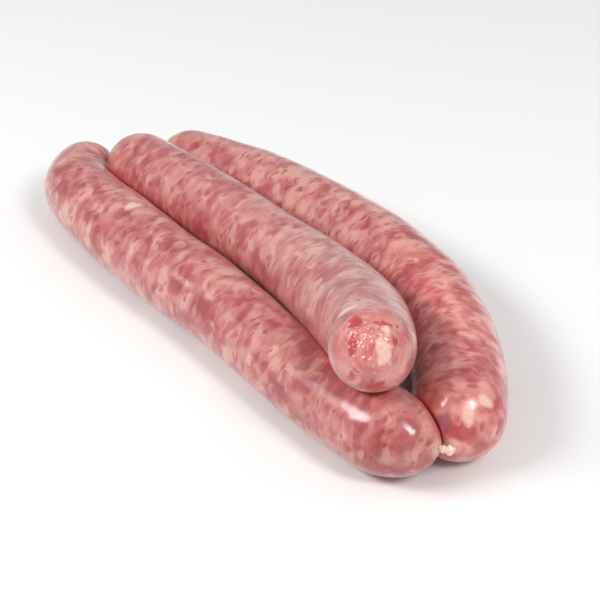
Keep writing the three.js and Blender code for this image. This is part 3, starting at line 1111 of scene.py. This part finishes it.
# Stored numbers that change the colour: purple and cream chunks, and the painted crease shade where links
# touch.
STORED_TINTS_AND_SHADE = (
    ("painted_crease_shade", 0.9, CREASE_SHADE_RED), ("purple", 0.75, PURPLE_LEAN), ("cream", 0.8, CREAM_CHUNK))


def meat_colour(tree, places, shift, veil, fatter=0.0, contrast=1.0):
    """The mottled colour of coarse pork, with painted deep red shade in the creases where links touch. veil
    is how much the casing hides it.
    """
    swirled = warped(tree, places, 8.0, 5.0)
    feathered = warped(tree, swirled, 2.2, 1.3)
    slow = noise(tree, sized(tree, swirled, (11.0, 10.0), shift + 5), 1.0).outputs["Fac"]
    fibres = noise(tree, sized(tree, feathered, (1.1, 3.6), shift + 13), 2.0).outputs["Fac"]
    tone = weighted(tree, 0.5 + fatter, (
        (slow, 0.5, 0.34 * contrast),
        (mosaic(tree, feathered, (5.2, 7.4), shift, 0.8), 0.5, 0.44 * contrast),
        (mosaic(tree, feathered, (2.6, 4.2), shift + 9, 0.6), 0.5, 0.26 * contrast),
        (fibres, 0.5, 0.26),
    ))
    colour = toned(tree, tone)
    for kind in FLECKS:
        shown = flecks(tree, feathered, kind["size"], kind["share"], shift + kind["shift"])
        colour = mixed(tree, times(tree, shown, kind["strength"]), colour, kind["colour"])
    # Mixes in the purple and cream chunks and the painted deep red crease shade.
    for name, strength, hue in STORED_TINTS_AND_SHADE:
        colour = mixed(tree, times(tree, attribute(tree, name), strength), colour, hue)
    return mixed(tree, veil, colour, MILKY_VEIL)


def bared(tree, colour, places, bare):
    """Meat that is redder and blotchy where bare is 1, for the cut end and the casing beside it."""
    redder = mixed(tree, times(tree, bare, 0.4), colour, BARE_PINK)
    bits = flecks(tree, warped(tree, places, 1.6, 0.8), (1.5, 1.8), 0.3, 7.7)
    speckled = mixed(tree, times(tree, times(tree, bits, bare), 0.3), redder, PALE_BITS)
    reds = times(tree, attribute(tree, "red"), plus(tree, times(tree, bare, 0.4), 0.5))
    return mixed(tree, reds, speckled, CUT_RED)


print("kinds of fleck:", len(FLECKS))
print("numbers on the skin that tint the meat:", [name for name, *_ in STORED_TINTS_AND_SHADE])

# %% [markdown]
# ## The moist casing
# Light enters the surface and comes out nearby, which Blender calls subsurface scattering. It softens the
# flecks and reddens the creases, helped by a painted deep red shade there. A clear coat on top is the moist
# gloss. Fine ridges across the link and a little grit break up that gloss, more so where the casing is
# wrinkled.
# The casing is paler and empty right at the twists, where no meat is left under it.
# The three links differ a little, as real ones do: in how fat and how mottled the meat is, and in how milky
# the casing turns towards the front. Towards the front each link's colour is also multiplied by a tint with
# painted light and shade in it: brighter and redder on the bowed link, where more light falls, a little
# darker and warmer on the pointed link, where shade falls, and a little greyer on the open link. So one
# function makes all three finishes, and each call names what is different.

# %% An empty finish
def new_finish(name):
    """A material without nodes, and its empty tree."""
    finish = bpy.data.materials.new(name)
    finish.use_nodes = True
    finish.node_tree.nodes.clear()
    return finish, finish.node_tree


def finished(tree, settings):
    """Adds the surface with these settings, and the output node that it ends in."""
    surface = add(tree, "ShaderNodeBsdfPrincipled", settings)
    add(tree, "ShaderNodeOutputMaterial", {"Surface": surface.outputs[0]})


print("materials before the first finish:", [material.name for material in bpy.data.materials])

# %% The finish of a link
ONWARD_SPAN = 60
THINNEST_VEIL = 0.08
EMPTY_CASING = paint(222, 178, 168)


def casing_finish(name, shift, wrinkled_from, veiled, fatter, contrast, front_tint_and_painted_light):
    """Coarse meat seen through a moist casing, more wrinkled and milky from some travel on, where a tint
    with painted light and shade is mixed in too.
    """
    finish, tree = new_finish(name)
    places = unbent_places(tree)
    thin = attribute(tree, "thin")
    travel = add(tree, "ShaderNodeSeparateXYZ", {0: places}).outputs["X"]
    onward = ranged(tree, travel, wrinkled_from, wrinkled_from + ONWARD_SPAN)
    veil = plus(tree, times(tree, onward, veiled), THINNEST_VEIL)
    veil = times(tree, veil, ranged(tree, thin, 0.0, 1.0, 1.0, 0.0))
    colour = bared(tree, meat_colour(tree, places, shift, veil, fatter, contrast), places, thin)
    # Painted light and shade at the front: the colour is multiplied by the front tint, mixed in from
    # wrinkled_from on and weaker on chunks.
    tinted_and_lit = add(tree, "ShaderNodeVectorMath", {0: colour, 1: front_tint_and_painted_light}, operation="MULTIPLY").outputs[0]
    chunk = plus(tree, attribute(tree, "cream"), attribute(tree, "purple"))
    colour = mixed(tree, times(tree, onward, ranged(tree, chunk, 0.0, 1.0, 1.0, 0.2)), colour, tinted_and_lit)
    # A dark red line is painted along the fold near the back end of the open link.
    colour = mixed(tree, times(tree, attribute(tree, "streak"), 0.75), colour, DARK_RED)
    across = add(tree, "ShaderNodeVectorMath", {0: places, 1: (0, 1, 1)}, operation="MULTIPLY").outputs[0]
    off_middle = add(tree, "ShaderNodeVectorMath", {0: across}, operation="LENGTH").outputs["Value"]
    colour = mixed(tree, ranged(tree, off_middle, 1.6, 4.6, 0.7, 0.0), colour, EMPTY_CASING)
    bent = warped(tree, places, 6.0, 3.0)
    ridges = noise(tree, sized(tree, bent, (0.8, 5.0), shift), 2.0)
    patchy = clouds(tree, places, (14.0, 9.0), 0.35, 0.65, shift + 61, 1.0)
    ridge_share = times(tree, plus(tree, times(tree, onward, veiled), 0.1), plus(tree, patchy, 0.3))
    grit = noise(tree, sized(tree, bent, (0.6, 0.7), shift), 2.0, 0.6)
    rough = times(tree, grit.outputs["Fac"], 0.3)
    height = plus(tree, times(tree, ridges.outputs["Fac"], ridge_share), rough)
    wrinkled = bumped(tree, height, 0.00025, 0.6)
    finished(tree, {
        "Base Color": colour,
        "Roughness": 0.5,
        "Specular IOR Level": 0.35,
        "Normal": wrinkled,
        "Subsurface Weight": 0.7,
        "Subsurface Radius": (1.0, 0.25, 0.18),
        "Subsurface Scale": 0.003,
        "Coat Weight": 0.9,
        "Coat Roughness": 0.08,
        "Coat Normal": wrinkled,
        "Sheen Weight": 0.1,
        "Sheen Roughness": 0.45,
    })
    print(name + ":", len(tree.nodes), "nodes")
    return finish


# %% The casings of the three links
OPEN_SHIFT = 23.7

# Front tints: on the bowed link it brightens and reddens the front as painted light, on the pointed link it
# darkens the front as painted shade.
pointed_skin.data.materials.append(casing_finish(
    "pointed_link_casing", shift=4.3, wrinkled_from=150, veiled=0.0,
    fatter=0.0, contrast=1.05, front_tint_and_painted_light=(0.98, 0.94, 0.91)))
bowed_skin.data.materials.append(casing_finish(
    "bowed_link_casing", shift=11.9, wrinkled_from=110, veiled=0.0,
    fatter=0.05, contrast=1.15, front_tint_and_painted_light=(1.2, 1.07, 1.07)))
open_skin.data.materials.append(casing_finish(
    "open_link_casing", shift=OPEN_SHIFT, wrinkled_from=70, veiled=0.08,
    fatter=0.02, contrast=0.95, front_tint_and_painted_light=(0.99, 1.03, 1.03)))

# %% [markdown]
# ## Bare meat at the cut
# Without the casing the meat is redder and wetter. The fat lump is pale cream, and small wet glints
# sit on the grains, so the coat is smoother than on the casing. The meat's pattern is the open
# link's own, so that chunks run on from the casing into the cut.

# %% The finish of the cut end
FAT_AT_THE_CUT = paint(246, 216, 196)


def bare_meat_finish():
    """Red wet meat with a lump of fat."""
    finish, tree = new_finish("bare_meat")
    places = unbent_places(tree)
    raw = bared(tree, meat_colour(tree, places, OPEN_SHIFT, 0.0), places, 1.0)
    spread = mixed(tree, times(tree, attribute(tree, "fat"), 0.6), raw, FAT_AT_THE_CUT)
    grit = noise(tree, sized(tree, places, (0.9, 0.9)), 3.0, 0.6)
    gritty = bumped(tree, grit.outputs["Fac"], 0.0003, 0.3)
    finished(tree, {
        "Base Color": spread,
        "Roughness": 0.38,
        "Normal": gritty,
        "Subsurface Weight": 0.6,
        "Subsurface Radius": (1.0, 0.32, 0.24),
        "Subsurface Scale": 0.002,
        "Coat Weight": 1.0,
        "Coat Roughness": 0.05,
        "Coat Normal": gritty,
    })
    print("bare_meat:", len(tree.nodes), "nodes")
    return finish


cut_end.data.materials.append(bare_meat_finish())

# %% [markdown]
# ## Casing without meat
# Where only casing is left, in the twists and the tail, it is whitish and lets light through. It
# could be a see-through material, but several turns of wet casing on each other look like soft wax,
# so strong scattering under the surface is closer and simpler.

# %% The finish of the twists
WHITISH = paint(234, 212, 202)
PINKISH = paint(226, 186, 178)


def bare_casing_finish():
    """Whitish casing with pinkish clouds."""
    finish, tree = new_finish("bare_casing")
    places = unbent_places(tree)
    cloud = noise(tree, stretched(tree, places, (1 / 1.2,) * 3), 2.0)
    share = ranged(tree, cloud.outputs["Fac"], 0.35, 0.65)
    colour = mixed(tree, share, WHITISH, PINKISH)
    finished(tree, {
        "Base Color": colour,
        "Roughness": 0.35,
        "Normal": bumped(tree, cloud.outputs["Fac"], 0.0001, 0.5),
        "Subsurface Weight": 0.8,
        "Subsurface Radius": (1.0, 0.6, 0.45),
        "Subsurface Scale": 0.002,
        "Coat Weight": 0.8,
        "Coat Roughness": 0.12,
    })
    print("bare_casing:", len(tree.nodes), "nodes")
    return finish


bare_casing = bare_casing_finish()
for piece in (back_twist, front_twist, tail):
    piece.data.materials.append(bare_casing)

# %% [markdown]
# ## The table
# The heap lies on a plain pale table, which catches its soft shadow. One large square is enough, as its
# edges lie far outside the picture.

# %% A pale table
TABLE_REACH = 15.0

floor_mesh = bpy.data.meshes.new("table_top")
floor_corners = [(x * TABLE_REACH, y * TABLE_REACH, 0) for x, y in ((-1, -1), (1, -1), (1, 1), (-1, 1))]
floor_mesh.from_pydata(floor_corners, [], [(0, 1, 2, 3)])
table_top = bpy.data.objects.new("table_top", floor_mesh)
bpy.context.scene.collection.objects.link(table_top)
table_finish, table_tree = new_finish("pale_table")
finished(table_tree, {"Base Color": (0.82, 0.82, 0.81, 1.0), "Roughness": 0.6})
floor_mesh.materials.append(table_finish)
print("the table is", 2 * TABLE_REACH, "m wide")

# %% [markdown]
# ## Light
# The photograph was taken in bright soft light from all round, with a large window-like light at
# each side. So the world is white. A soft box on the left gives the long highlight on the front
# link, and one on the right gives the small highlights on the round ends. Their directions were
# found by bouncing the camera's line of sight off the model where the photograph shows a highlight.
# A weak wide light from the far right brightens the bowed link's far side.

# %% White surroundings
WORLD_STRENGTH = 0.47
world = bpy.data.worlds.new("white_room")
world.use_nodes = True
world.node_tree.nodes["Background"].inputs["Color"].default_value = (0.98, 0.99, 1.0, 1.0)
world.node_tree.nodes["Background"].inputs["Strength"].default_value = WORLD_STRENGTH
bpy.context.scene.world = world
print("strength of the white surroundings:", WORLD_STRENGTH)

# %% Soft boxes
LIGHT_DISTANCE = 1.3
LIGHT_AIM = Vector((0.06, -0.03, 0.03))


def soft_box(name, one_end, other_end, height, watts):
    """A bar of soft light that looks at the heap. Its ends are (azimuth from +X to +Y, elevation)."""
    first, last = (
        LIGHT_AIM + Vector(direction(*end).tolist()) * LIGHT_DISTANCE for end in (one_end, other_end))
    lamp = bpy.data.lights.new(name, "AREA")
    lamp.shape = "RECTANGLE"
    lamp.size = (last - first).length
    lamp.size_y = height
    lamp.energy = watts
    box = bpy.data.objects.new(name, lamp)
    middle = (first + last) / 2
    back = (middle - LIGHT_AIM).normalized()
    level = (last - first).normalized()
    turned = Matrix([[level[i], back.cross(level)[i], back[i]] for i in range(3)]).to_4x4()
    box.matrix_world = Matrix.Translation(middle) @ turned
    bpy.context.scene.collection.objects.link(box)
    print(name + ":", round(lamp.size, 2), "m long")
    return box


soft_box("left_soft_box", (-133, 33), (-97, 46), 0.34, 11.0)
soft_box("right_soft_box", (-6, 46), (14, 48), 0.4, 8.0)
soft_box("far_right_fill", (40, 35), (95, 35), 0.9, 1.8)

# %% [markdown]
# ## The camera
# The camera stands where the photograph was taken from, above and in front of the cut end. Its
# place, its aim and its lens were found together: the outline of the links had to fall on their
# outline in the photograph. Blender's camera looks along its own minus Z, with X to the right and Y
# upwards. So those three directions are worked out first and become the columns of its matrix.

# %% The camera of the photograph
CAMERA_PLACE = (403.9, -305.1, 343.5)
LOOK_HEADING = 142.0
LOOK_DOWN = 34.25
ROLL = -0.63
FOCAL_MM = 87.93
SENSOR_MM = 36

ahead = direction(LOOK_HEADING, -LOOK_DOWN)
level = direction(LOOK_HEADING - 90, 0)
upright = np.cross(level, ahead)
roll = math.radians(ROLL)
right = math.cos(roll) * level + math.sin(roll) * upright
above = -math.sin(roll) * level + math.cos(roll) * upright
lens = bpy.data.cameras.new("photo_camera")
lens.sensor_width = SENSOR_MM
lens.lens = FOCAL_MM
lens.clip_end = 100
camera = bpy.data.objects.new("photo_camera", lens)
turned = Matrix([[right[i], above[i], -ahead[i]] for i in range(3)]).to_4x4()
camera.matrix_world = Matrix.Translation((np.array(CAMERA_PLACE) + HEAP_SHIFT) * MM) @ turned
bpy.context.scene.collection.objects.link(camera)
bpy.context.scene.camera = camera
print("camera at", [round(v, 3) for v in camera.location], "m")

# %% [markdown]
# ## Colours on the screen
# Blender can bend colours as film does. Here the colours were matched to the photograph by number, so the
# plain "Standard" way of showing them is used.

# %% Plain colours
view = bpy.context.scene.view_settings
view.view_transform = "Standard"
view.look = "None"
view.exposure = 0.0
view.gamma = 1.0
print("colours are shown as:", view.view_transform)

# %% [markdown]
